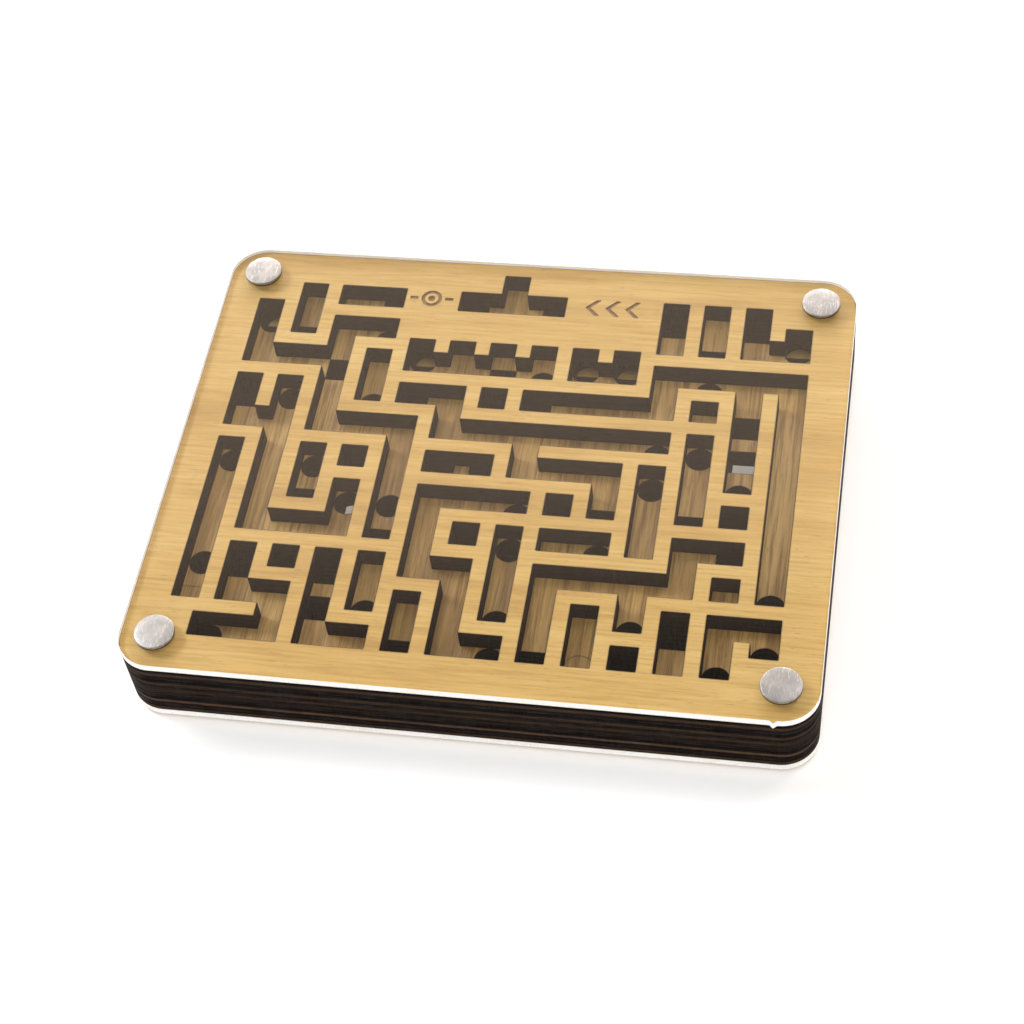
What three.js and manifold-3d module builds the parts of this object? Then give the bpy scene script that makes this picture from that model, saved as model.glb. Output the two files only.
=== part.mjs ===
// Two-level tilt maze: three plywood sheets between two clear covers, held by
// four corner posts. The upper and the lower sheet are cut through with a maze,
// and the middle sheet has the holes through which the ball changes level.
// Millimetres. +X runs along the long side, +Y away from the player, +Z up.
// The origin is at the centre of the footprint, on the surface it stands on.
import * as THREE from "three";
import { mergeVertices } from "three/addons/utils/BufferGeometryUtils.js";
import Module from "manifold-3d";

const wasm = await Module();
wasm.setup();

// ---- driving dimensions ----
const BOARD_X = 147.3;
const BOARD_Y = 119.6;
const CORNER_RADIUS = 8;
const SHEET = 5;
const COVER = 1.7;

const PITCH = 9.5; // from one passage to the next
const PASSAGE = 5.9; // width of a passage, and of a square hole
const ROUND_HOLE = 5.9;
const COLUMNS = 14;
const ROWS = 11;
const MAZE_SHIFT_X = -0.4; // the cut pattern sits a little off centre
const MAZE_SHIFT_Y = 0.15;

const POST_INSET = 8; // from the board's edge to a post's axis
const POST_HOLE = 5.4;
const BARREL_DIAMETER = 5;
const BARREL_LENGTH = 17.2;
const BORE_DIAMETER = 3.6;
const BORE_DEPTH = 12;
const SCREW_DIAMETER = 3.2;
const SCREW_LENGTH = 9.5;
const HEAD_DIAMETER = 8.6;
const HEAD_HEIGHT = 1.3;
const HEAD_CHAMFER = 0.3;
const HEAD_UNDERCUT = 0.4;
const SLOT_WIDTH = 1.1;
const SLOT_DEPTH = 0.7;

const BALL_DIAMETER = 4.5;
const BALL_GAP = 0.05; // between the ball and the cover it rolls on
const BALL_COLUMN = 13;
const BALL_ROW = 5;

const NIB_WIDTH = 1.7; // the break-off tab left on the clear cover's edge
const NIB_REACH = 0.7;
const NIB_X = 64.7;

const ENGRAVING_DEPTH = 0.35;
const STROKE = 0.8;
const MARK_SIZE = 4.8;
const MARK_ROW = -0.04;
const START_COLUMN = 8.4;
const END_COLUMN = 3.97;
const CHEVRON_STEP = 4.6;
const DASH_LENGTH = 1.9;

const ARC_STEPS = 8; // per corner of the board
const HOLE_STEPS = 16;
const POST_STEPS = 20;
const CUT_MARGIN = 1; // how far a cutter runs past each face

// ---- levels, from the surface up ----
const BOTTOM_COVER_Z = HEAD_HEIGHT;
const LOWER_MAZE_Z = BOTTOM_COVER_Z + COVER;
const DIVIDER_Z = LOWER_MAZE_Z + SHEET;
const UPPER_MAZE_Z = DIVIDER_Z + SHEET;
const TOP_COVER_Z = UPPER_MAZE_Z + SHEET;
const TOP_FACE_Z = TOP_COVER_Z + COVER;

// ---- plans of the cut pattern, seen from above, far side first ----
// "o" is an open cell, "-" and "|" join two cells, and "." is solid.
const UPPER_MAZE_PLAN = [
  ". o o-o . o-o-o . . o o o .",
  "  |                 | | |  ",
  "o o o-o . . . . . . o o o-o",
  "|   |                      ",
  "o-o-o o o-o-o-o o-o o-o-o-o",
  "    | |             |   | |",
  "o o o o o-o o o-o-o-o o o o",
  "| | |     |             | |",
  "o-o o-o-o o-o-o-o-o-o o o o",
  "  |     |     |       | | |",
  "o o o o o o-o o-o-o o o o o",
  "| | |   |         | | |   |",
  "o o o o o o-o-o o o o o o o",
  "| |   | | |         |     |",
  "o o-o-o o o o o o-o o o-o o",
  "|         |   |       |   |",
  "o o o o o o-o o o-o-o-o o o",
  "| |   | |   | | |   |      ",
  "o o-o o o o o o o o o o o-o",
  "    | |   | |   | |   | |  ",
  ". o-o o-o o o-o o o o o o .",
];
const LOWER_MAZE_PLAN = [
  ". o-o-o-o-o o-o-o o-o o-o .",
  "      |   | |       | |    ",
  "o o o-o . o o-o . . o o o o",
  "| |   |       |     | | | |",
  "o-o o o o-o-o o-o o o-o o-o",
  "    |     | |     | |     |",
  "o o-o-o-o o o o-o-o o-o o o",
  "|       |   |           | |",
  "o-o-o-o o o-o o-o-o o-o-o o",
  "  |   | | |       |       |",
  "o o-o o o o o-o o-o o-o o o",
  "|     |       | | |   | | |",
  "o-o-o o o-o-o o o o o o o o",
  "|                   | |   |",
  "o o-o-o-o-o-o-o o o-o o-o o",
  "        | |     | |       |",
  "o-o-o-o o o o o-o o o-o o o",
  "          | |   |   |   | |",
  "o-o-o o o o-o o-o-o o-o-o o",
  "      | |                  ",
  ". o-o-o o-o-o-o-o-o o-o-o .",
];
// Holes of the divider: "s" square, "r" round.
const DIVIDER_PLAN = [
  ". . . s . s . s . . s . s .",
  "                           ",
  ". s . r . . . . . . . s . .",
  "                           ",
  ". . s . . . s r . . . r . .",
  "                           ",
  "s r . r s . s s . . . . s .",
  "                           ",
  ". . . . . . . . . . r r s .",
  "                           ",
  "r . r s . s s . . . r . r .",
  "                           ",
  ". . s r r . . r s s . s s .",
  "                           ",
  ". . . . s . s r s r . . s .",
  "                           ",
  "r s s s . . . . . . . . . r",
  "                           ",
  "s . . s r . . r . . r s . .",
  "                           ",
  ". . . . . s . r s r s . r .",
];

// Cells and holes that stand off the grid: [column, row].
const UPPER_POCKETS = [
  [0, 0.6],
  [4, 1.6],
  [5, 1.6],
  [6, 1.6],
  [7, 1.6],
  [8, 1.6],
  [9, 1.6],
  [6, -0.6],
  [13, 0.6],
  [13, 9.4],
  [0.6, 10],
];
const LOWER_POCKETS = [
  [0, 0.6],
  [4, 1.6],
  [8, 1.6],
  [9, 1.6],
  [13, 0.6],
  [13, 9.4],
  [0.6, 10],
];
// Long holes of the divider, each from one place to another.
const LONG_HOLES = [
  [[0, 0.3], [0, 0.6]],
  [[4, 1.3], [4, 1.6]],
  [[8, 1.3], [8, 1.6]],
  [[9, 1.3], [9, 1.6]],
  [[13, 0.3], [13, 0.6]],
  [[13, 9.4], [13, 9.7]],
  [[0.3, 10], [0.6, 10]],
];

// ---- colours ----
const CLEAR = new THREE.MeshStandardMaterial({
  color: 0xf3f5f4,
  roughness: 0.08,
  metalness: 0,
  transparent: true,
  opacity: 0.3,
});
const VENEER = new THREE.MeshStandardMaterial({
  color: 0xd9b67c,
  roughness: 0.6,
  metalness: 0,
});
const DIVIDER_WOOD = new THREE.MeshStandardMaterial({
  color: 0x9c7a55,
  roughness: 0.65,
  metalness: 0,
});
const NICKEL = new THREE.MeshStandardMaterial({
  color: 0xc9c6bf,
  roughness: 0.35,
  metalness: 1,
});
const STEEL = new THREE.MeshStandardMaterial({
  color: 0xd0d2d4,
  roughness: 0.12,
  metalness: 1,
});

// ---- solids ----
function solidOf(geometry) {
  const bare = geometry.clone();
  bare.deleteAttribute("normal");
  bare.deleteAttribute("uv");
  const merged = mergeVertices(bare, 1e-4);
  return new wasm.Manifold(
    new wasm.Mesh({
      numProp: 3,
      vertProperties: merged.attributes.position.array,
      triVerts: new Uint32Array(merged.index.array),
    }),
  );
}

function geometryOf(solid) {
  const mesh = solid.getMesh();
  const geometry = new THREE.BufferGeometry();
  const positions = new THREE.BufferAttribute(mesh.vertProperties, 3);
  geometry.setAttribute("position", positions);
  geometry.setIndex(new THREE.BufferAttribute(mesh.triVerts, 1));
  geometry.computeVertexNormals();
  return geometry;
}

// A box from its low and high corners in plan, between two heights.
function block([x0, y0], [x1, y1], z0, z1) {
  const box = new THREE.BoxGeometry(x1 - x0, y1 - y0, z1 - z0);
  return solidOf(box.translate((x0 + x1) / 2, (y0 + y1) / 2, (z0 + z1) / 2));
}

function upright(diameter, steps, x, y, z0, z1) {
  const radius = diameter / 2;
  const round = new THREE.CylinderGeometry(radius, radius, z1 - z0, steps);
  round.rotateX(Math.PI / 2);
  return solidOf(round.translate(x, y, (z0 + z1) / 2));
}

// A flat outline given as plan points, raised between two heights.
function prism(points, z0, z1) {
  const shape = new THREE.Shape(points.map(([x, y]) => new THREE.Vector2(x, y)));
  const raised = new THREE.ExtrudeGeometry(shape, {
    depth: z1 - z0,
    bevelEnabled: false,
  });
  return solidOf(raised.translate(0, 0, z0));
}

function cutAll(solid, cutters) {
  return cutters.reduce((left, cutter) => left.subtract(cutter), solid);
}

// ---- places ----
function cellCentre(column, row) {
  return [
    (column - (COLUMNS - 1) / 2) * PITCH + MAZE_SHIFT_X,
    ((ROWS - 1) / 2 - row) * PITCH + MAZE_SHIFT_Y,
  ];
}

function postPlaces() {
  const x = BOARD_X / 2 - POST_INSET;
  const y = BOARD_Y / 2 - POST_INSET;
  return [
    ["front_left", -x, -y],
    ["front_right", x, -y],
    ["back_left", -x, y],
    ["back_right", x, y],
  ];
}

// ---- the board's outline ----
function boardShape() {
  const x = BOARD_X / 2;
  const y = BOARD_Y / 2;
  const r = CORNER_RADIUS;
  const shape = new THREE.Shape();
  shape.moveTo(-x + r, -y);
  shape.lineTo(x - r, -y);
  shape.absarc(x - r, -y + r, r, -Math.PI / 2, 0);
  shape.lineTo(x, y - r);
  shape.absarc(x - r, y - r, r, 0, Math.PI / 2);
  shape.lineTo(-x + r, y);
  shape.absarc(-x + r, y - r, r, Math.PI / 2, Math.PI);
  shape.lineTo(-x, -y + r);
  shape.absarc(-x + r, -y + r, r, Math.PI, Math.PI * 1.5);
  return shape;
}

// A sheet of the stack with the four post holes through it.
function sheet(z0, thickness) {
  const raised = new THREE.ExtrudeGeometry(boardShape(), {
    depth: thickness,
    bevelEnabled: false,
    curveSegments: ARC_STEPS,
  });
  const low = z0 - CUT_MARGIN;
  const high = z0 + thickness + CUT_MARGIN;
  const holes = postPlaces().map(([, x, y]) =>
    upright(POST_HOLE, POST_STEPS, x, y, low, high),
  );
  return cutAll(solidOf(raised.translate(0, 0, z0)), holes);
}

// ---- passages and holes ----
function passage(from, to, z0, z1) {
  const half = PASSAGE / 2;
  const [ax, ay] = cellCentre(...from);
  const [bx, by] = cellCentre(...to);
  const low = [Math.min(ax, bx) - half, Math.min(ay, by) - half];
  const high = [Math.max(ax, bx) + half, Math.max(ay, by) + half];
  return block(low, high, z0, z1);
}

// Each unbroken straight run of open cells in a plan, as [first, last] cells.
function runsOf(plan) {
  const runs = [];
  for (let row = 0; row < ROWS; row++) {
    for (let column = 0; column < COLUMNS; column++) {
      if (plan[2 * row][2 * column] !== "o") continue;
      const joinsLeft = plan[2 * row][2 * column - 1] === "-";
      const joinsUp = row > 0 && plan[2 * row - 1][2 * column] === "|";
      let right = column;
      while (plan[2 * row][2 * right + 1] === "-") right++;
      let down = row;
      while (down < ROWS - 1 && plan[2 * down + 1][2 * column] === "|") down++;
      const single = right === column && down === row;
      if (!joinsLeft && (right > column || (single && !joinsUp)))
        runs.push([[column, row], [right, row]]);
      if (!joinsUp && down > row) runs.push([[column, row], [column, down]]);
    }
  }
  return runs;
}

function mazeSheet(plan, pockets, z0) {
  const low = z0 - CUT_MARGIN;
  const high = z0 + SHEET + CUT_MARGIN;
  const runs = runsOf(plan).map(([from, to]) => passage(from, to, low, high));
  const ends = pockets.map((place) => passage(place, place, low, high));
  return cutAll(sheet(z0, SHEET), [...runs, ...ends]);
}

function dividerSheet() {
  const low = DIVIDER_Z - CUT_MARGIN;
  const high = DIVIDER_Z + SHEET + CUT_MARGIN;
  const round = ([x, y]) => upright(ROUND_HOLE, HOLE_STEPS, x, y, low, high);
  const cutters = LONG_HOLES.map((ends) =>
    wasm.Manifold.hull(ends.map((place) => round(cellCentre(...place)))),
  );
  for (let row = 0; row < ROWS; row++) {
    for (let column = 0; column < COLUMNS; column++) {
      const kind = DIVIDER_PLAN[2 * row][2 * column];
      const place = [column, row];
      if (kind === "r") cutters.push(round(cellCentre(...place)));
      if (kind === "s") cutters.push(passage(place, place, low, high));
    }
  }
  return cutAll(sheet(DIVIDER_Z, SHEET), cutters);
}

// ---- marks engraved beside the home pocket ----
// Start: three chevrons that point at the pocket.
function startMark(z0, z1) {
  const [x, y] = cellCentre(START_COLUMN, MARK_ROW);
  const half = MARK_SIZE / 2;
  const thick = STROKE * Math.SQRT2;
  return [-1, 0, 1].map((place) => {
    const tip = x + place * CHEVRON_STEP - half / 2;
    return prism(
      [
        [tip, y],
        [tip + half, y - half],
        [tip + half + thick, y - half],
        [tip + thick, y],
        [tip + half + thick, y + half],
        [tip + half, y + half],
      ],
      z0,
      z1,
    );
  });
}

// End: a ring round a dot, between two dashes.
function endMark(z0, z1) {
  const [x, y] = cellCentre(END_COLUMN, MARK_ROW);
  const ringInner = MARK_SIZE - 2 * STROKE;
  const outer = upright(MARK_SIZE, POST_STEPS, x, y, z0, z1);
  const inner = upright(ringInner, POST_STEPS, x, y, z0 - 1, z1 + 1);
  const dot = upright(2 * STROKE, HOLE_STEPS, x, y, z0, z1);
  const dashes = [-1, 1].map((side) => {
    const near = x + side * (MARK_SIZE / 2 + STROKE);
    const far = near + side * DASH_LENGTH;
    const low = [Math.min(near, far), y - STROKE / 2];
    const high = [Math.max(near, far), y + STROKE / 2];
    return block(low, high, z0, z1);
  });
  return [outer.subtract(inner), dot, ...dashes];
}

function upperMaze() {
  const low = TOP_COVER_Z - ENGRAVING_DEPTH;
  const high = TOP_COVER_Z + CUT_MARGIN;
  const marks = [...startMark(low, high), ...endMark(low, high)];
  const plain = mazeSheet(UPPER_MAZE_PLAN, UPPER_POCKETS, UPPER_MAZE_Z);
  return cutAll(plain, marks);
}

// ---- covers ----
function topCover() {
  const half = NIB_WIDTH / 2;
  const edge = -BOARD_Y / 2;
  const nib = prism(
    [
      [NIB_X + half, edge + half],
      [NIB_X - half, edge + half],
      [NIB_X - half, edge],
      [NIB_X, edge - NIB_REACH],
      [NIB_X + half, edge],
    ],
    TOP_COVER_Z,
    TOP_FACE_Z,
  );
  return sheet(TOP_COVER_Z, COVER).add(nib);
}

// ---- corner posts ----
function turned(profile) {
  const points = profile.map(([r, z]) => new THREE.Vector2(r, z));
  return new THREE.LatheGeometry(points, POST_STEPS).rotateX(Math.PI / 2);
}

// The post: a plain disc head on a barrel with a blind bore from below.
// Heights are from the cover's face, which the head sits on.
function postGeometry() {
  const head = HEAD_DIAMETER / 2;
  return turned([
    [0, BORE_DEPTH - BARREL_LENGTH],
    [BORE_DIAMETER / 2, BORE_DEPTH - BARREL_LENGTH],
    [BORE_DIAMETER / 2, -BARREL_LENGTH],
    [BARREL_DIAMETER / 2, -BARREL_LENGTH],
    [BARREL_DIAMETER / 2, 0],
    [head - HEAD_UNDERCUT, 0],
    [head, HEAD_UNDERCUT],
    [head, HEAD_HEIGHT - HEAD_CHAMFER],
    [head - HEAD_CHAMFER, HEAD_HEIGHT],
    [0, HEAD_HEIGHT],
  ]);
}

// The screw: a slotted disc head below, its shank up the post's bore.
function screwGeometry() {
  const head = HEAD_DIAMETER / 2;
  const shank = SCREW_DIAMETER / 2;
  const body = turned([
    [0, 0],
    [head - HEAD_CHAMFER, 0],
    [head, HEAD_CHAMFER],
    [head, HEAD_HEIGHT - HEAD_UNDERCUT],
    [head - HEAD_UNDERCUT, HEAD_HEIGHT],
    [shank, HEAD_HEIGHT],
    [shank, HEAD_HEIGHT + SCREW_LENGTH],
    [0, HEAD_HEIGHT + SCREW_LENGTH],
  ]);
  const half = SLOT_WIDTH / 2;
  const slot = block([-head, -half], [head, half], -CUT_MARGIN, SLOT_DEPTH);
  return geometryOf(solidOf(body).subtract(slot));
}

// ---- the assembly ----
const mazeGame = new THREE.Group();

function put(name, geometry, material, x = 0, y = 0, z = 0) {
  const mesh = new THREE.Mesh(geometry, material);
  mesh.name = name;
  mesh.position.set(x, y, z);
  mazeGame.add(mesh);
}

put("top_cover", geometryOf(topCover()), CLEAR);
put("upper_maze_plate", geometryOf(upperMaze()), VENEER);
put("divider_plate", geometryOf(dividerSheet()), DIVIDER_WOOD);
const lowerMaze = mazeSheet(LOWER_MAZE_PLAN, LOWER_POCKETS, LOWER_MAZE_Z);
put("lower_maze_plate", geometryOf(lowerMaze), VENEER);
put("bottom_cover", geometryOf(sheet(BOTTOM_COVER_Z, COVER)), CLEAR);

for (const [corner, x, y] of postPlaces()) {
  put(`post_${corner}`, postGeometry(), NICKEL, x, y, TOP_FACE_Z);
  put(`post_screw_${corner}`, screwGeometry(), NICKEL, x, y, 0);
}

const ballRadius = BALL_DIAMETER / 2;
const [ballX, ballY] = cellCentre(BALL_COLUMN, BALL_ROW);
const ballZ = LOWER_MAZE_Z + BALL_GAP + ballRadius;
const ball = new THREE.SphereGeometry(ballRadius, 20, 14);
put("steel_ball", ball, STEEL, ballX, ballY, ballZ);

export default mazeGame;
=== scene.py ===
"""Two-level tilt maze game: what is seen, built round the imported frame.

Every sheet takes its outlines from its CAD node, and gets finely rounded
corners, softened edges, ply layers and engraved marks as real geometry.
Metres, in the frame's own axes.
"""

import math

import bmesh
import bpy
from mathutils import Matrix, Quaternion, Vector


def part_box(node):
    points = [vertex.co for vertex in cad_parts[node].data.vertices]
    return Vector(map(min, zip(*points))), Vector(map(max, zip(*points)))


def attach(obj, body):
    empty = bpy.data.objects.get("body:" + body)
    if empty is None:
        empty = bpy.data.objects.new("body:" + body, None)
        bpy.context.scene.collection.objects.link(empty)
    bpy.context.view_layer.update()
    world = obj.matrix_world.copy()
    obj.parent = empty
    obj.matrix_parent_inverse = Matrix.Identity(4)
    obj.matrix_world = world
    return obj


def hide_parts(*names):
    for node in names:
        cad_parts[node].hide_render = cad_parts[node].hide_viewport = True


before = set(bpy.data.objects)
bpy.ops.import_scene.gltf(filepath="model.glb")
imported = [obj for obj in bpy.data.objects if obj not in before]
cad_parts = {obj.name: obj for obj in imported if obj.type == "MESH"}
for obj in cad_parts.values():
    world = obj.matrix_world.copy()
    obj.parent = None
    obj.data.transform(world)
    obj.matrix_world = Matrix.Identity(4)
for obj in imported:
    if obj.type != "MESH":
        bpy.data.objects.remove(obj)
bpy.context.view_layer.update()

MM = 0.001
CORNERS = ("front_left", "front_right", "back_left", "back_right")

# ---- sheets ----
FACE_GAP = 0.012 * MM  # air left at each face of a sheet, where two sheets meet
SHARP_TURN = math.radians(30)
LONGEST_CHORD = 2.5 * MM  # a longer edge is straight, and not part of an arc
ARC_STEP = math.radians(6)
CORNER_RADIUS = 0.14 * MM  # the beam's own width rounds a cut corner
CORNER_STEPS = 3
LEAST_RADIUS = 0.004 * MM
EDGE_BAND = 0.4 * MM  # a ring on the face that carries the soot
WOOD_BEVEL = 0.1 * MM
COVER_BEVEL = 0.12 * MM
PLIES = 3
GLUE_DEPTH = 0.05 * MM
GLUE_HALF = 0.09 * MM
MARK_DEPTH = 0.35 * MM
MARK_BAND = 0.12 * MM
MARK_TAPER = 0.05 * MM

# ---- corner posts and their screws ----
TURNED_STEPS = 72
TURNED_SHARP = 32  # degrees between two faces of a hard edge
BARREL_RADIUS = 2.5 * MM
BARREL_BOTTOM = 2.5 * MM
BORE_RADIUS = 1.8 * MM
BORE_DEPTH = 12 * MM
DRILL_POINT = 0.9 * MM
HEAD_HEIGHT = 1.3 * MM
HEAD_ROUND = 0.2 * MM
HEAD_UNDERCUT = 0.4 * MM
HEAD_CROWN = 0.05 * MM
THREAD_ROOT = 1.42 * MM
THREAD_CREST = 1.72 * MM
THREAD_PITCH = 0.7 * MM
THREAD_STEPS = 7  # rings for each turn of the thread
SLOT_WIDTH = 1.1 * MM
SLOT_DEPTH = 0.7 * MM

# ---- camera ----
CAMERA_PLACE = Vector((85.03, -299.53, 405.95)) * MM
CAMERA_TARGET = Vector((4.48, -13.04, 19.87)) * MM
CAMERA_ROLL = math.radians(-8.32)
CAMERA_LENS = 79.65

# ---- wood ----
BURNT_RIM = (0.055, 0.028, 0.012)  # where the beam met the sheet's face
SCORCH = (0.16, 0.085, 0.035)
PLY_LIGHT = (0.10, 0.056, 0.028)  # a layer that the beam left paler
LAYER_WANDER = 0.35  # how far a layer of the edge strays in height, in mm
LAYER_WANDER_MEAN = 0.17
EDGE_SOOT = ((0.0025, 0.0012, 0.001), (0.011, 0.006, 0.0045))  # ground, and glint
PASSAGE_SOOT = ((0.013, 0.0075, 0.0055), (0.040, 0.024, 0.017))

# ---- room ----
BACK_WALL = (0.98, 0.76, 0.58)
CEILING = (0.14, 0.12, 0.10)
TO_WALL = Vector((-0.16, 1.0, -0.74)).normalized()  # up the fall from ceiling to wall
WALL_FALL = (-0.06, 0.05)  # where along it the ceiling ends and the wall begins
FLOOR_RADIUS = 8


# ======== outlines ========
def flat_outlines(node, upper):
    """The closed outlines of a sheet's upper or lower face, as lists of plan
    points. Seen from above, the material is on the left of each."""
    shape = bmesh.new()
    shape.from_mesh(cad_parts[node].data)
    bmesh.ops.remove_doubles(shape, verts=shape.verts, dist=1e-7)
    lowest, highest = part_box(node)
    level = highest.z if upper else lowest.z
    facing = 1 if upper else -1

    def on_face(face):
        flat = face.normal.z * facing > 0.99
        return flat and abs(face.calc_center_median().z - level) < 1e-6

    following = {}
    for face in filter(on_face, shape.faces):
        for loop in face.loops:
            others = [f for f in loop.edge.link_faces if f is not face]
            if not any(on_face(f) for f in others):
                following[loop.vert] = loop.link_loop_next.vert
    outlines = []
    while following:
        start = next(iter(following))
        points = []
        vert = start
        while vert in following:
            points.append(vert.co.xy.copy())
            vert = following.pop(vert)
        outlines.append(points if upper else points[::-1])
    shape.free()
    return outlines


def turn_at(points, i):
    """The signed angle by which an outline turns at point i, left being positive."""
    into = points[i] - points[i - 1]
    onward = points[(i + 1) % len(points)] - points[i]
    return math.atan2(into.x * onward.y - into.y * onward.x, into.dot(onward))


def arc_between(a, b, turn):
    """Points after a on the circle that turns by turn from a to b."""
    steps = math.ceil(abs(turn) / ARC_STEP)
    chord = b - a
    radius = chord.length / (2 * math.sin(turn / 2))
    left = Vector((-chord.y, chord.x)).normalized()
    centre = (a + b) / 2 + left * radius * math.cos(turn / 2)
    return [
        centre + Matrix.Rotation(turn * k / steps, 2) @ (a - centre)
        for k in range(1, steps)
    ]


def refined(points):
    """[(point, is a sharp corner)] for an outline, with points that do nothing
    left out and the chords of its arcs filled in."""
    points = [p for i, p in enumerate(points) if abs(turn_at(points, i)) > 1e-3]
    turns = [turn_at(points, i) for i in range(len(points))]
    result = []
    for i, point in enumerate(points):
        j = (i + 1) % len(points)
        result.append((point, abs(turns[i]) > SHARP_TURN))
        short = (points[j] - point).length < LONGEST_CHORD
        smooth = max(abs(turns[i]), abs(turns[j])) < SHARP_TURN
        if short and smooth:
            turn = max(turns[i], turns[j], key=abs)
            result += [(p, False) for p in arc_between(point, points[j], turn)]
    return result


def ring(outline, inset):
    """The outline's points moved into the material by inset, with each sharp
    corner as a small arc. Every inset gives the same number of points."""
    moved = []
    for i, (point, sharp) in enumerate(outline):
        into = (point - outline[i - 1][0]).normalized()
        onward = (outline[(i + 1) % len(outline)][0] - point).normalized()
        left_in = Vector((-into.y, into.x))
        left_on = Vector((-onward.y, onward.x))
        corner = point + inset * (left_in + left_on) / (1 + left_in.dot(left_on))
        if not sharp:
            moved.append(corner)
            continue
        side = math.copysign(1, into.x * onward.y - into.y * onward.x)
        turn = math.acos(max(-1, min(1, into.dot(onward))))
        radius = max(CORNER_RADIUS - side * inset, LEAST_RADIUS)
        start = corner - into * radius * math.tan(turn / 2)
        centre = start + left_in * radius * side
        for k in range(CORNER_STEPS + 1):
            swing = Matrix.Rotation(side * turn * k / CORNER_STEPS, 2)
            moved.append(centre + swing @ (start - centre))
    return moved


def area_of(points):
    return sum(p.cross(points[i - 1]) for i, p in enumerate(points)) / -2


def encloses(points, place):
    """Is the place inside the outline?"""
    inside = False
    for i, b in enumerate(points):
        a = points[i - 1]
        if (a.y > place.y) != (b.y > place.y):
            if place.x < a.x + (b.x - a.x) * (place.y - a.y) / (b.y - a.y):
                inside = not inside
    return inside


# ======== meshes ========
class Builder:
    """A mesh in the making, with a material number and a value per point that marks scorch on
    wood and painted shade on metal.
    """

    def __init__(self):
        self.shape = bmesh.new()
        self.soot_and_shade = self.shape.verts.layers.float.new("soot_and_shade")

    def ring(self, points, z, soot_and_shade=0.0):
        verts = [self.shape.verts.new((p.x, p.y, z)) for p in points]
        for vert in verts:
            vert[self.soot_and_shade] = soot_and_shade
        return verts

    def band(self, low, high, material):
        """Quads between two rings of as many points."""
        for i in range(len(low)):
            corners = (low[i - 1], low[i], high[i], high[i - 1])
            self.shape.faces.new(corners).material_index = material

    def fill(self, rings, material):
        """Flat triangles over each region that the rings bound."""
        areas = [area_of([v.co.xy for v in r]) for r in rings]
        outers = sorted((a, i) for i, a in enumerate(areas) if a > 0)
        regions = {i: [rings[i]] for _, i in outers}
        for hole, area in zip(rings, areas):
            if area > 0:
                continue
            place = hole[0].co.xy
            around = (i for _, i in outers if encloses([v.co.xy for v in rings[i]], place))
            regions[next(around)].append(hole)
        for loops in regions.values():
            pairs = [(r[i - 1], r[i]) for r in loops for i in range(len(r))]
            edges = [self.shape.edges.get(pair) for pair in pairs]
            made = bmesh.ops.triangle_fill(
                self.shape, use_beauty=True, use_dissolve=False, edges=edges
            )
            for face in made["geom"]:
                if isinstance(face, bmesh.types.BMFace):
                    face.material_index = material

    def finish(self, name, materials, body, node, sharp_above=50):
        bmesh.ops.remove_doubles(self.shape, verts=self.shape.verts, dist=1e-7)
        bmesh.ops.recalc_face_normals(self.shape, faces=self.shape.faces)
        mesh = bpy.data.meshes.new(name)
        self.shape.to_mesh(mesh)
        self.shape.free()
        mesh.shade_smooth()
        mesh.set_sharp_from_angle(angle=math.radians(sharp_above))
        for material in materials:
            mesh.materials.append(material)
        piece = bpy.data.objects.new(name, mesh)
        bpy.context.scene.collection.objects.link(piece)
        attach(piece, body)
        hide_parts(node)
        return piece


def wall_levels(bottom, top, bevel, layered):
    """[(inset, height)] up a cut edge, from face to face."""
    eased = bevel * (1 - math.sqrt(0.5))
    levels = [(bevel, bottom), (eased, bottom + eased), (0, bottom + bevel)]
    if layered:
        for ply in range(1, PLIES):
            seam = bottom + (top - bottom) * ply / PLIES
            levels += [(0, seam - GLUE_HALF), (GLUE_DEPTH, seam), (0, seam + GLUE_HALF)]
    return levels + [(0, top - bevel), (eased, top - eased), (bevel, top)]


FACE, INNER_WALL, OUTER_WALL, MARK = range(4)


def build_sheet(name, node, materials, wooden):
    """One sheet of the stack, with its outlines from the CAD node. An outline
    that is only in the upper face is an engraved mark."""
    bevel = WOOD_BEVEL if wooden else COVER_BEVEL
    lowest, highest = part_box(node)
    bottom, top = lowest.z + FACE_GAP, highest.z - FACE_GAP
    through = flat_outlines(node, upper=False)
    areas = [area_of(points) for points in through]
    marks = [
        points
        for points in flat_outlines(node, upper=True)
        if all(abs(area_of(points) - area) > 1e-9 for area in areas)
        or not any((points[0] - p).length < 1e-6 for q in through for p in q)
    ]
    made = Builder()
    top_rings = []
    bottom_rings = []
    for points in through:
        outline = refined(points)
        wall = OUTER_WALL if area_of(points) > 0 else INNER_WALL
        rings = [made.ring(ring(outline, EDGE_BAND), bottom)]
        for inset, z in wall_levels(bottom, top, bevel, layered=wooden):
            rings.append(made.ring(ring(outline, inset), z, soot_and_shade=1.0))
        rings.append(made.ring(ring(outline, EDGE_BAND), top))
        made.band(rings[0], rings[1], FACE)
        for low, high in zip(rings[1:-2], rings[2:-1]):
            made.band(low, high, wall)
        made.band(rings[-2], rings[-1], FACE)
        bottom_rings.append(rings[0])
        top_rings.append(rings[-1])
    mark_floors = []
    for points in marks:
        outline = refined(points)
        edge = made.ring(ring(outline, 0), top, soot_and_shade=1.0)
        around = made.ring(ring(outline, MARK_BAND), top)
        floor = made.ring(ring(outline, -MARK_TAPER), top - MARK_DEPTH, soot_and_shade=1.0)
        made.band(around, edge, FACE)
        made.band(edge, floor, MARK)
        top_rings.append(around)
        mark_floors.append(floor[::-1])
    made.fill(top_rings, FACE)
    made.fill(bottom_rings, FACE)
    if mark_floors:
        made.fill(mark_floors, MARK)
    made.finish(name, materials, "stack", node)


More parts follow.
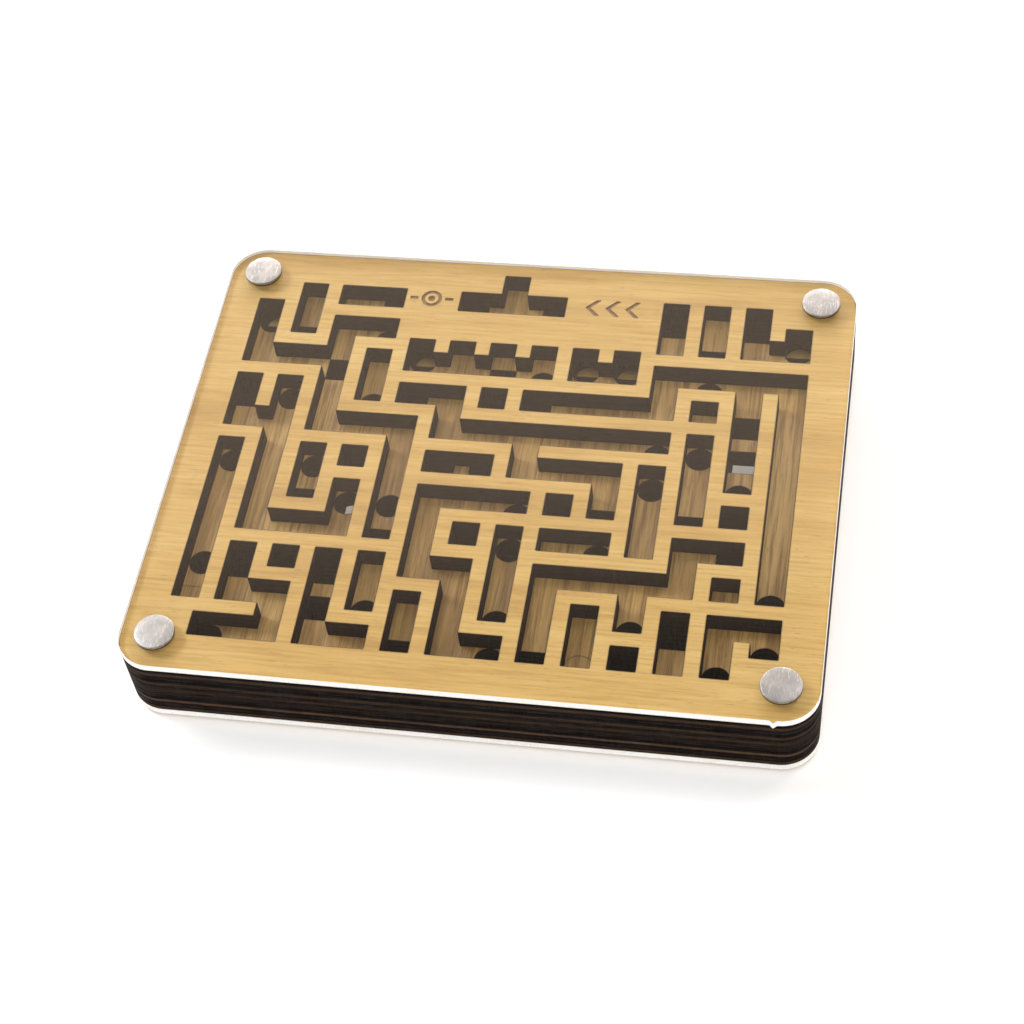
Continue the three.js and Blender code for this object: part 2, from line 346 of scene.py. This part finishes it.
def turned(made, profile, axis, shaded_span, thread=None):
    """A turned solid from its profile of (radius, height) points, from the axis
    and back to it. Between the two heights given after the axis, it carries
    painted shade on the metal. With thread, (lowest, highest), the radius
    between those heights follows a screw thread."""
    rings = []
    for radius, z in profile:
        if radius < 1e-9:
            rings.append([made.shape.verts.new((*axis, z))])
            continue
        points = []
        for k in range(TURNED_STEPS):
            angle = 2 * math.pi * k / TURNED_STEPS
            reach = radius
            if thread and thread[0] <= z <= thread[1]:
                reach = thread_radius(z, angle, *thread)
            points.append(axis + reach * Vector((math.cos(angle), math.sin(angle))))
        # Painted shade: points between the two given heights are marked for darkening.
        rings.append(made.ring(points, z, soot_and_shade=float(shaded_span[0] < z < shaded_span[1])))
    for low, high in zip(rings, rings[1:]):
        if len(low) == len(high):
            made.band(low, high, 0)
            continue
        tip, edge = (low[0], high) if len(low) == 1 else (high[0], low)
        for i in range(len(edge)):
            made.shape.faces.new((tip, edge[i - 1], edge[i]))


def thread_radius(z, angle, lowest, highest):
    """A rounded ridge that climbs one pitch a turn, and fades out at both ends."""
    phase = (z - lowest) / THREAD_PITCH - angle / (2 * math.pi)
    ridge = 0.5 - 0.5 * math.cos(2 * math.pi * phase)
    fade = min(1, (z - lowest) / THREAD_PITCH, (highest - z) / THREAD_PITCH)
    return THREAD_ROOT + (THREAD_CREST - THREAD_ROOT) * ridge * max(0, fade)


def quarter(radius, z, size, first, steps=5):
    """Profile points of a rounded edge of that size about (radius, z), through a
    quarter turn from the angle first, in degrees."""
    return [
        (
            radius + size * math.cos(math.radians(first + 90 * k / steps)),
            z + size * math.sin(math.radians(first + 90 * k / steps)),
        )
        for k in range(steps + 1)
    ]


def head_axis(node):
    lowest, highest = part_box(node)
    return (lowest + highest).xy / 2, (highest - lowest).x / 2, lowest.z, highest.z


def build_post(corner, material):
    node = f"post_{corner}"
    axis, head, _, top = head_axis(node)
    seat = top - HEAD_HEIGHT
    ease = 0.15 * MM
    profile = [
        (0, BARREL_BOTTOM + BORE_DEPTH),
        (BORE_RADIUS, BARREL_BOTTOM + BORE_DEPTH - DRILL_POINT),
        (BORE_RADIUS, BARREL_BOTTOM + ease),
        (BORE_RADIUS + ease, BARREL_BOTTOM),
        *quarter(BARREL_RADIUS - ease, BARREL_BOTTOM + ease, ease, -90, 3),
        (BARREL_RADIUS, seat),
        (head - HEAD_UNDERCUT, seat),
        *quarter(head - ease, seat + HEAD_UNDERCUT, ease, -45, 3),
        *quarter(head - HEAD_ROUND, top - HEAD_CROWN - HEAD_ROUND, HEAD_ROUND, 0),
        (head * 0.6, top - HEAD_CROWN * 0.3),
        (head * 0.3, top),
        (0, top),
    ]
    made = Builder()
    # Painted shade: the barrel and the head's underside are darkened where the head sits on the
    # cover.
    turned(made, profile, axis, (BARREL_BOTTOM, seat + HEAD_UNDERCUT + 2 * ease))
    made.finish(f"{node}_turned", [material], "stack", node, TURNED_SHARP)


def build_screw(corner, material):
    node = f"post_screw_{corner}"
    axis, head, bottom, tip = head_axis(node)
    seat = bottom + HEAD_HEIGHT
    ease = 0.2 * MM
    rings = round((tip - ease - seat) / THREAD_PITCH * THREAD_STEPS)
    shank = [
        (THREAD_ROOT, seat + (tip - ease - seat) * k / rings) for k in range(rings + 1)
    ]
    profile = [
        (0, bottom),
        *quarter(head - HEAD_ROUND, bottom + HEAD_ROUND, HEAD_ROUND, -90),
        *quarter(head - ease, seat - HEAD_UNDERCUT, ease, 0, 3)[:2],
        (head - HEAD_UNDERCUT, seat),
        *shank,
        (THREAD_ROOT - ease, tip),
        (0, tip),
    ]
    made = Builder()
    # Painted shade: the shank and the head's upper side are darkened where the head sits on the
    # cover.
    shaded_span = (seat - HEAD_UNDERCUT - 2 * ease, tip)
    turned(made, profile, axis, shaded_span, thread=(seat, tip - ease))
    piece = made.finish(f"{node}_turned", [material], "stack", node, TURNED_SHARP)
    cut_slot(piece, axis, head, bottom)


def cut_slot(piece, axis, head, bottom):
    """A driver slot across the head, with a rounded floor."""
    half = SLOT_WIDTH / 2
    ease = 0.12 * MM
    section = [
        (half, bottom - half),
        *quarter(half - ease, bottom + SLOT_DEPTH - ease, ease, 0, 3),
        *quarter(ease - half, bottom + SLOT_DEPTH - ease, ease, 90, 3),
        (-half, bottom - half),
    ]
    shape = bmesh.new()
    ends = [
        [shape.verts.new((axis.x + side * 2 * head, axis.y + y, z)) for y, z in section]
        for side in (-1, 1)
    ]
    for i in range(len(section)):
        shape.faces.new((ends[0][i - 1], ends[0][i], ends[1][i], ends[1][i - 1]))
    shape.faces.new(ends[0])
    shape.faces.new(ends[1])
    bmesh.ops.recalc_face_normals(shape, faces=shape.faces)
    mesh = bpy.data.meshes.new("slot_cutter")
    shape.to_mesh(mesh)
    shape.free()
    cutter = bpy.data.objects.new("slot_cutter", mesh)
    bpy.context.scene.collection.objects.link(cutter)
    boolean = piece.modifiers.new("slot", "BOOLEAN")
    boolean.operation = "DIFFERENCE"
    boolean.solver = "EXACT"
    boolean.object = cutter
    graph = bpy.context.evaluated_depsgraph_get()
    cut = bpy.data.meshes.new_from_object(piece.evaluated_get(graph))
    piece.modifiers.clear()
    piece.data = cut
    cut.set_sharp_from_angle(angle=math.radians(TURNED_SHARP))
    bpy.data.objects.remove(cutter)


def build_ball(material):
    lowest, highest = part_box("steel_ball")
    made = Builder()
    bmesh.ops.create_icosphere(
        made.shape,
        subdivisions=5,
        radius=(highest - lowest).z / 2,
        matrix=Matrix.Translation((lowest + highest) / 2),
    )
    made.finish("steel_ball_polished", [material], "ball", "steel_ball")


# ======== materials ========
class Shader:
    """A material's node tree, built by short calls that give output sockets."""

    def __init__(self, name):
        self.material = bpy.data.materials.new(name)
        self.material.use_nodes = True
        self.tree = self.material.node_tree
        self.tree.nodes.clear()

    def node(self, kind, inputs, **settings):
        made = self.tree.nodes.new(kind)
        for key, value in settings.items():
            setattr(made, key, value)
        for key, value in inputs.items():
            if isinstance(value, bpy.types.NodeSocket):
                self.tree.links.new(value, made.inputs[key])
            else:
                made.inputs[key].default_value = value
        return made

    def millimetres(self, x=1.0, y=1.0, z=1.0):
        """The place on the piece in millimetres, divided by x, y and z."""
        place = self.node("ShaderNodeTexCoord", {}).outputs["Object"]
        scale = (1000 / x, 1000 / y, 1000 / z)
        return self.node("ShaderNodeMapping", {"Vector": place, "Scale": scale}).outputs[0]

    def height(self):
        """The height in millimetres."""
        place = self.node("ShaderNodeTexCoord", {}).outputs["Object"]
        z = self.node("ShaderNodeSeparateXYZ", {0: place}).outputs[2]
        return self.maths("MULTIPLY", z, 1000.0)

    def noise(self, place, scale, detail=2.0, roughness=0.5, distortion=0.0):
        inputs = {
            "Vector": place,
            "Scale": scale,
            "Detail": detail,
            "Roughness": roughness,
            "Distortion": distortion,
        }
        return self.node("ShaderNodeTexNoise", inputs).outputs[0]

    def maths(self, operation, a, b=0.0, clamped=False):
        made = self.node("ShaderNodeMath", {0: a, 1: b}, operation=operation)
        made.use_clamp = clamped
        return made.outputs[0]

    def spread(self, value, low, high, to_low=0.0, to_high=1.0):
        """The value mapped smoothly from low..high to to_low..to_high."""
        inputs = {0: value, 1: low, 2: high, 3: to_low, 4: to_high}
        kind = "SMOOTHSTEP"
        return self.node("ShaderNodeMapRange", inputs, interpolation_type=kind).outputs[0]

    def ramp(self, value, stops):
        made = self.node("ShaderNodeValToRGB", {0: value})
        band = made.color_ramp
        while len(band.elements) < len(stops):
            band.elements.new(0.5)
        for element, (place, colour) in zip(band.elements, stops):
            element.position = place
            element.color = (*colour, 1)
        return made.outputs[0]

    def mix(self, share, a, b, blend="MIX"):
        made = self.node("ShaderNodeMix", {}, data_type="RGBA", blend_type=blend)
        for socket, value in ((0, share), (6, a), (7, b)):
            if isinstance(value, bpy.types.NodeSocket):
                self.tree.links.new(value, made.inputs[socket])
            elif socket == 0:
                made.inputs[0].default_value = value
            else:
                made.inputs[socket].default_value = (*value, 1)
        return made.outputs[2]

    def bump(self, height, distance, strength=1.0, normal=None):
        inputs = {"Height": height, "Distance": distance, "Strength": strength}
        if normal is not None:
            inputs["Normal"] = normal
        return self.node("ShaderNodeBump", inputs).outputs[0]

    # The per-point mask: scorch at the wood's cut edges, and painted shade on the metal.
    def soot_and_shade(self):
        return self.node("ShaderNodeAttribute", {}, attribute_name="soot_and_shade").outputs["Fac"]

    def show(self, surface):
        self.node("ShaderNodeOutputMaterial", {"Surface": surface})
        return self.material

    def principled(self, **inputs):
        sockets = {key.replace("_", " "): value for key, value in inputs.items()}
        return self.node("ShaderNodeBsdfPrincipled", sockets).outputs[0]


def grained(shader, grain, stretch):
    """Millimetres drawn out along the grain, which lies along "x" or along "y"."""
    if grain == "x":
        return shader.millimetres(stretch, 1, 1)
    return shader.millimetres(1, stretch, 1)


def veneer(name, grain, tones, streakiness):
    """Sanded veneer: broad tone, growth figure, fine fibres and short pores,
    scorched a little at each cut edge. tones are pale, middle and deep."""
    pale, middle, deep = tones
    s = Shader(name)
    long_grain = grained(s, grain, 26)
    mid_grain = grained(s, grain, 9)
    tone = s.noise(grained(s, grain, 5), 0.055, 3, 0.5)
    figure = s.noise(grained(s, grain, 14), 0.42, 4, 0.62, 0.5)
    streaks = s.noise(long_grain, 1.5, 5, 0.6)
    fibres = s.noise(long_grain, 6.5, 3, 0.55)
    pores = s.spread(s.noise(mid_grain, 4.2, 2, 0.5), 0.63, 0.74)
    tone_share = s.maths("MULTIPLY", tone, 0.55)
    figure_share = s.maths("MULTIPLY", figure, 0.45)
    colour = s.ramp(
        s.maths("ADD", tone_share, figure_share),
        [(0.34, deep), (0.5, middle), (0.64, pale)],
    )
    colour = s.mix(s.spread(streaks, 0.42, 0.68, 0, streakiness), colour, deep)
    colour = s.mix(s.spread(fibres, 0.5, 0.75, 0, 0.3), colour, pale)
    colour = s.mix(s.maths("MULTIPLY", pores, 0.42), colour, SCORCH)
    edge = s.maths("POWER", s.soot_and_shade(), 1.6)
    colour = s.mix(s.maths("MULTIPLY", edge, 0.8), colour, BURNT_RIM)
    relief = s.maths("SUBTRACT", s.maths("MULTIPLY", fibres, 0.6), pores)
    surface = s.principled(
        Base_Color=colour,
        Roughness=s.spread(streaks, 0.3, 0.7, 0.46, 0.62),
        Specular_IOR_Level=0.7,
        Normal=s.bump(relief, 0.02 * MM, 0.8),
    )
    return s.show(surface)


def charred(name, soot_and_shade, bands):
    """A laser-cut ply edge. bands gives [(height in mm, half width, share)] of the
    layers that the beam left paler; the beam's own strokes run up the edge."""
    ground, glint = soot_and_shade
    s = Shader(name)
    height = s.height()
    wander = s.noise(s.millimetres(9, 9, 3), 1.0, 2, 0.5)
    height = s.maths("ADD", height, s.maths("MULTIPLY", wander, LAYER_WANDER))
    strokes = s.noise(s.millimetres(1, 1, 14), 3.2, 3, 0.65)
    patches = s.noise(s.millimetres(4.5, 4.5, 1.2), 1.0, 4, 0.6)
    fibres = s.noise(s.millimetres(3.5, 3.5, 0.35), 1.6, 4, 0.65)
    pale = None
    for middle, half, share in bands:
        off = s.maths("ABSOLUTE", s.maths("SUBTRACT", height, middle + LAYER_WANDER_MEAN))
        band = s.spread(off, half * 0.35, half, share, 0)
        pale = band if pale is None else s.maths("MAXIMUM", pale, band)
    colour = s.mix(s.spread(strokes, 0.4, 0.72), ground, glint)
    if pale is not None:
        worn = s.maths("MULTIPLY", pale, s.spread(patches, 0.28, 0.62, 0.35, 1.1))
        worn = s.maths("MULTIPLY", worn, s.spread(fibres, 0.3, 0.65, 0.55, 1.15), True)
        colour = s.mix(worn, colour, PLY_LIGHT)
    stroke_relief = s.maths("MULTIPLY", strokes, 0.7)
    relief = s.maths("ADD", stroke_relief, s.maths("MULTIPLY", fibres, 0.6))
    surface = s.principled(
        Base_Color=colour,
        Roughness=s.spread(patches, 0.3, 0.7, 0.55, 0.85),
        Specular_IOR_Level=0.06,
        Normal=s.bump(relief, 0.06 * MM, 0.8),
    )
    return s.show(surface)


def engraved():
    """The floor of a mark: scorched brown, combed by the beam's raster lines."""
    s = Shader("engraved_wood")
    raster = s.noise(s.millimetres(6, 1, 1), 5.0, 2, 0.5)
    blotch = s.noise(s.millimetres(), 0.9, 3, 0.6)
    colour = s.mix(s.spread(blotch, 0.35, 0.65), (0.26, 0.15, 0.075), (0.38, 0.24, 0.13))
    colour = s.mix(s.spread(raster, 0.4, 0.7, 0, 0.5), colour, (0.17, 0.09, 0.045))
    surface = s.principled(
        Base_Color=colour, Roughness=0.8, Normal=s.bump(raster, 0.05 * MM)
    )
    return s.show(surface)


def clear_acrylic():
    """Cast acrylic, faintly smudged and finely scratched. Lamps and scattered
    light pass straight through it, so that it doesn't cast a dark shadow."""
    s = Shader("clear_acrylic")
    smudge = s.noise(s.millimetres(), 0.07, 4, 0.6, 0.6)
    swirl = s.noise(s.millimetres(1, 14, 1), 2.6, 2, 0.5, 1.2)
    haze = s.maths("MULTIPLY", s.spread(smudge, 0.45, 0.75), s.spread(swirl, 0.5, 0.8))
    glass = s.principled(
        Base_Color=(0.985, 0.99, 0.985, 1),
        Roughness=s.spread(haze, 0, 1, 0.004, 0.045),
        IOR=1.49,
        Transmission_Weight=1.0,
    )
    open_air = s.node("ShaderNodeBsdfTransparent", {"Color": (0.93, 0.93, 0.925, 1)}).outputs[0]
    path = s.node("ShaderNodeLightPath", {})
    passes = s.maths("MAXIMUM", path.outputs["Is Shadow Ray"], path.outputs["Is Diffuse Ray"])
    return s.show(s.node("ShaderNodeMixShader", {0: passes, 1: glass, 2: open_air}).outputs[0])


def acrylic_edge():
    """The cut edge of the acrylic, frosted, with the beam's strokes. Its glow is
    painted: a little emission that stands in for light the sheet pipes to its edges."""
    s = Shader("acrylic_cut_edge")
    strokes = s.noise(s.millimetres(1, 1, 9), 3.6, 2, 0.6)
    tint = s.noise(s.millimetres(), 0.12, 2, 0.5)
    colour = s.mix(s.spread(tint, 0.3, 0.7), (0.86, 0.85, 0.83), (0.78, 0.765, 0.74))
    surface = s.principled(
        Base_Color=colour,
        Roughness=s.spread(strokes, 0.3, 0.7, 0.16, 0.34),
        Normal=s.bump(strokes, 0.03 * MM, 0.7),
        # Painted glow: this emission lights the cut edge though it is no lamp.
        Emission_Color=(1.0, 0.975, 0.94, 1),
        Emission_Strength=0.22,
        Subsurface_Weight=0.35,
        Subsurface_Radius=(0.002, 0.002, 0.002),
        Subsurface_Scale=1.0,
    )
    return s.show(surface)


def nickel():
    """Satin nickel plate: a soft bloom, fine swirled scratches, a few pits, and
    painted shade, dark on the side that faces the cover."""
    s = Shader("satin_nickel")
    bloom = s.noise(s.millimetres(), 0.45, 3, 0.5)
    grit = s.noise(s.millimetres(), 9.0, 3, 0.6)
    swirls = s.noise(s.millimetres(1, 5, 1), 1.6, 4, 0.65, 1.8)
    pits = s.spread(s.noise(s.millimetres(), 3.4, 2, 0.5), 0.68, 0.76)
    colour = s.mix(s.spread(bloom, 0.36, 0.64), (0.50, 0.51, 0.53), (0.60, 0.61, 0.63))
    colour = s.mix(s.spread(swirls, 0.52, 0.62, 0, 0.75), colour, (0.88, 0.89, 0.90))
    colour = s.mix(s.maths("MULTIPLY", pits, 0.4), colour, (0.34, 0.31, 0.28))
    # Painted shade: the marked side of the head is darkened, standing in for the shade where it
    # meets the cover.
    colour = s.mix(s.maths("MULTIPLY", s.soot_and_shade(), 0.9), colour, (0.07, 0.05, 0.03))
    relief = s.maths("SUBTRACT", s.maths("MULTIPLY", grit, 0.8), pits)
    surface = s.principled(
        Base_Color=colour,
        Metallic=1.0,
        Roughness=s.spread(swirls, 0.3, 0.7, 0.46, 0.36),
        Normal=s.bump(relief, 0.008 * MM, 0.8),
    )
    return s.show(surface)


def ball_steel():
    """Polished bearing steel with hairline scratches."""
    s = Shader("ball_steel")
    hairs = s.noise(s.millimetres(1, 16, 1), 7.0, 2, 0.5, 1.5)
    dull = s.noise(s.millimetres(), 0.9, 3, 0.6)
    surface = s.principled(
        Base_Color=s.mix(s.spread(dull, 0.3, 0.7), (0.78, 0.79, 0.80), (0.88, 0.88, 0.88)),
        Metallic=1.0,
        Roughness=s.spread(hairs, 0.45, 0.75, 0.07, 0.22),
        Normal=s.bump(hairs, 0.002 * MM, 0.5),
    )
    return s.show(surface)


# ======== stage ========
def add_floor():
    """A pale disc that hides nothing from below, so that the game's underside
    can be seen through it."""
    s = Shader("pale_floor")
    surface = s.principled(
        Base_Color=(0.93, 0.93, 0.93, 1),
        Roughness=0.9,
        Specular_IOR_Level=0.1,
        Emission_Color=(1, 1, 1, 1),
        Emission_Strength=0.3,
    )
    below = s.node("ShaderNodeNewGeometry", {}).outputs["Backfacing"]
    clear = s.node("ShaderNodeBsdfTransparent", {}).outputs[0]
    shown = s.node("ShaderNodeMixShader", {0: below, 1: surface, 2: clear}).outputs[0]
    material = s.show(shown)
    shape = bmesh.new()
    bmesh.ops.create_circle(shape, cap_ends=True, segments=96, radius=FLOOR_RADIUS)
    for face in shape.faces:
        face.normal_update()
        if face.normal.z < 0:
            face.normal_flip()
    mesh = bpy.data.meshes.new("floor")
    shape.to_mesh(mesh)
    shape.free()
    mesh.materials.append(material)
    floor = bpy.data.objects.new("floor", mesh)
    bpy.context.scene.collection.objects.link(floor)


def add_world():
    """A white room with a cream wall behind the game, which the clear cover
    mirrors, and a dim ceiling."""
    world = bpy.data.worlds.new("white_room")
    world.use_nodes = True
    tree = world.node_tree
    tree.nodes.clear()
    place = tree.nodes.new("ShaderNodeTexCoord")
    tilt = tree.nodes.new("ShaderNodeVectorMath")
    tilt.operation = "DOT_PRODUCT"
    tilt.inputs[1].default_value = TO_WALL
    fall = tree.nodes.new("ShaderNodeMapRange")
    fall.interpolation_type = "SMOOTHSTEP"
    for socket, value in zip((1, 2, 3, 4), (*WALL_FALL, 0.0, 1.0)):
        fall.inputs[socket].default_value = value
    shade = tree.nodes.new("ShaderNodeMix")
    shade.data_type = "RGBA"
    shade.inputs[6].default_value = (*CEILING, 1)
    shade.inputs[7].default_value = (*BACK_WALL, 1)
    light = tree.nodes.new("ShaderNodeBackground")
    out = tree.nodes.new("ShaderNodeOutputWorld")
    tree.links.new(place.outputs["Generated"], tilt.inputs[0])
    tree.links.new(tilt.outputs["Value"], fall.inputs[0])
    tree.links.new(fall.outputs[0], shade.inputs[0])
    tree.links.new(shade.outputs[2], light.inputs["Color"])
    tree.links.new(light.outputs[0], out.inputs[0])
    bpy.context.scene.world = world


def add_softbox(name, place, size, power, mirrored=True):
    """An area lamp aimed at the game. Glossy rays see it only if mirrored."""
    data = bpy.data.lights.new(name, "AREA")
    data.shape = "RECTANGLE"
    data.size, data.size_y = size
    data.energy = power
    lamp = bpy.data.objects.new(name, data)
    lamp.location = place
    lamp.rotation_mode = "QUATERNION"
    lamp.rotation_quaternion = (-Vector(place)).to_track_quat("-Z", "Y")
    lamp.visible_camera = False
    lamp.visible_glossy = mirrored
    bpy.context.scene.collection.objects.link(lamp)


def add_camera():
    data = bpy.data.cameras.new("camera")
    data.sensor_width = 36
    data.lens = CAMERA_LENS
    data.clip_start = 0.01
    data.clip_end = 30
    camera = bpy.data.objects.new("camera", data)
    aim = (CAMERA_TARGET - CAMERA_PLACE).to_track_quat("-Z", "Y")
    camera.location = CAMERA_PLACE
    camera.rotation_mode = "QUATERNION"
    camera.rotation_quaternion = aim @ Quaternion((0, 0, 1), CAMERA_ROLL)
    bpy.context.scene.collection.objects.link(camera)
    bpy.context.scene.camera = camera


# ======== the game ========
add_camera()
add_world()
add_floor()
add_softbox("key_light", place=(-0.95, 0.3, 1.05), size=(0.4, 0.4), power=8.0)
add_softbox("overhead", place=(0.1, -0.4, 1.3), size=(0.7, 0.5), power=6.0, mirrored=False)
add_softbox("front_fill", place=(0.3, -1.0, 0.6), size=(0.9, 0.5), power=3.0, mirrored=False)
add_softbox("right_fill", place=(0.6, 0.55, 1.3), size=(0.3, 0.3), power=3.0)
add_softbox("back_sheen", place=(-0.2, 1.5, 0.75), size=(1.4, 0.4), power=9.0)
bpy.context.scene.view_settings.view_transform = "Standard"

top_veneer = veneer(
    "maple_veneer",
    grain="x",
    tones=((0.74, 0.51, 0.175), (0.66, 0.42, 0.12), (0.47, 0.265, 0.06)),
    streakiness=0.5,
)
# Painted shade: the divider is the same plywood as the top veneer, but its tones are a step
# darker, standing in for the shade in the passages. Its grain along y and its streaks are its
# own.
floor_veneer = veneer(
    "divider_veneer",
    grain="y",
    tones=((0.66, 0.41, 0.13), (0.47, 0.275, 0.08), (0.20, 0.105, 0.03)),
    streakiness=0.85,
)
mark_wood = engraved()
passage_char = charred("passage_char", PASSAGE_SOOT, [])
upper_edge = charred("upper_sheet_edge", EDGE_SOOT, [(16.5, 0.8, 0.5), (13.0, 0.7, 0.5)])
middle_edge = charred(
    "middle_sheet_edge",
    EDGE_SOOT,
    [(13.0, 0.7, 0.5), (10.9, 0.65, 0.4), (9.3, 0.4, 0.25)],
)
lower_edge = charred("lower_sheet_edge", EDGE_SOOT, [(6.6, 0.6, 1.0), (3.75, 0.7, 0.5)])
frosted = acrylic_edge()
cover = [clear_acrylic(), frosted, frosted]
plate_metal = nickel()

build_sheet("top_cover_acrylic", "top_cover", cover, wooden=False)
build_sheet(
    "upper_maze_wood",
    "upper_maze_plate",
    [top_veneer, passage_char, upper_edge, mark_wood],
    wooden=True,
)
build_sheet(
    "divider_wood",
    "divider_plate",
    [floor_veneer, passage_char, middle_edge],
    wooden=True,
)
build_sheet(
    "lower_maze_wood",
    "lower_maze_plate",
    [top_veneer, passage_char, lower_edge],
    wooden=True,
)
build_sheet("bottom_cover_acrylic", "bottom_cover", cover, wooden=False)
for corner in CORNERS:
    build_post(corner, plate_metal)
    build_screw(corner, plate_metal)
build_ball(ball_steel())
